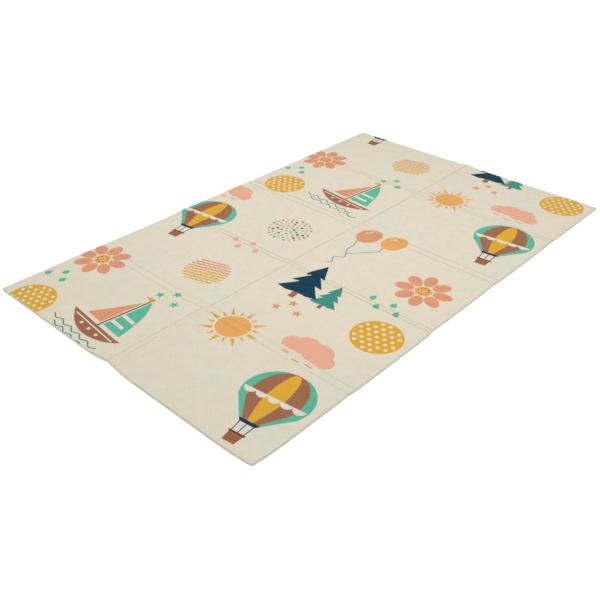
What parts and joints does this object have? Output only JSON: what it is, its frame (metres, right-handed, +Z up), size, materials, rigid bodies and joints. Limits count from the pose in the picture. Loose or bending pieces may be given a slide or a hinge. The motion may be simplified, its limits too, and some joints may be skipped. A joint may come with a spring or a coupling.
{
  "type": "folding foam play mat",
  "caption": "Flat rectangular foam floor mat with rounded rims, divided into panels by pressed fold grooves, lying open with low ridges along its folds.",
  "frame": {"origin": "on the floor under the middle of the mat", "axes": "+X along the mat's length, +Y across its width, +Z up from the floor through the play surface"},
  "size_m": [2, 1.204, 0.0259],
  "materials": {
    "printed_foam": "cream embossed film over closed-cell foam, matt with a faint sheen"
  },
  "bodies": {
    "root": {"mat": "printed_foam"}
  },
  "joints": []
}
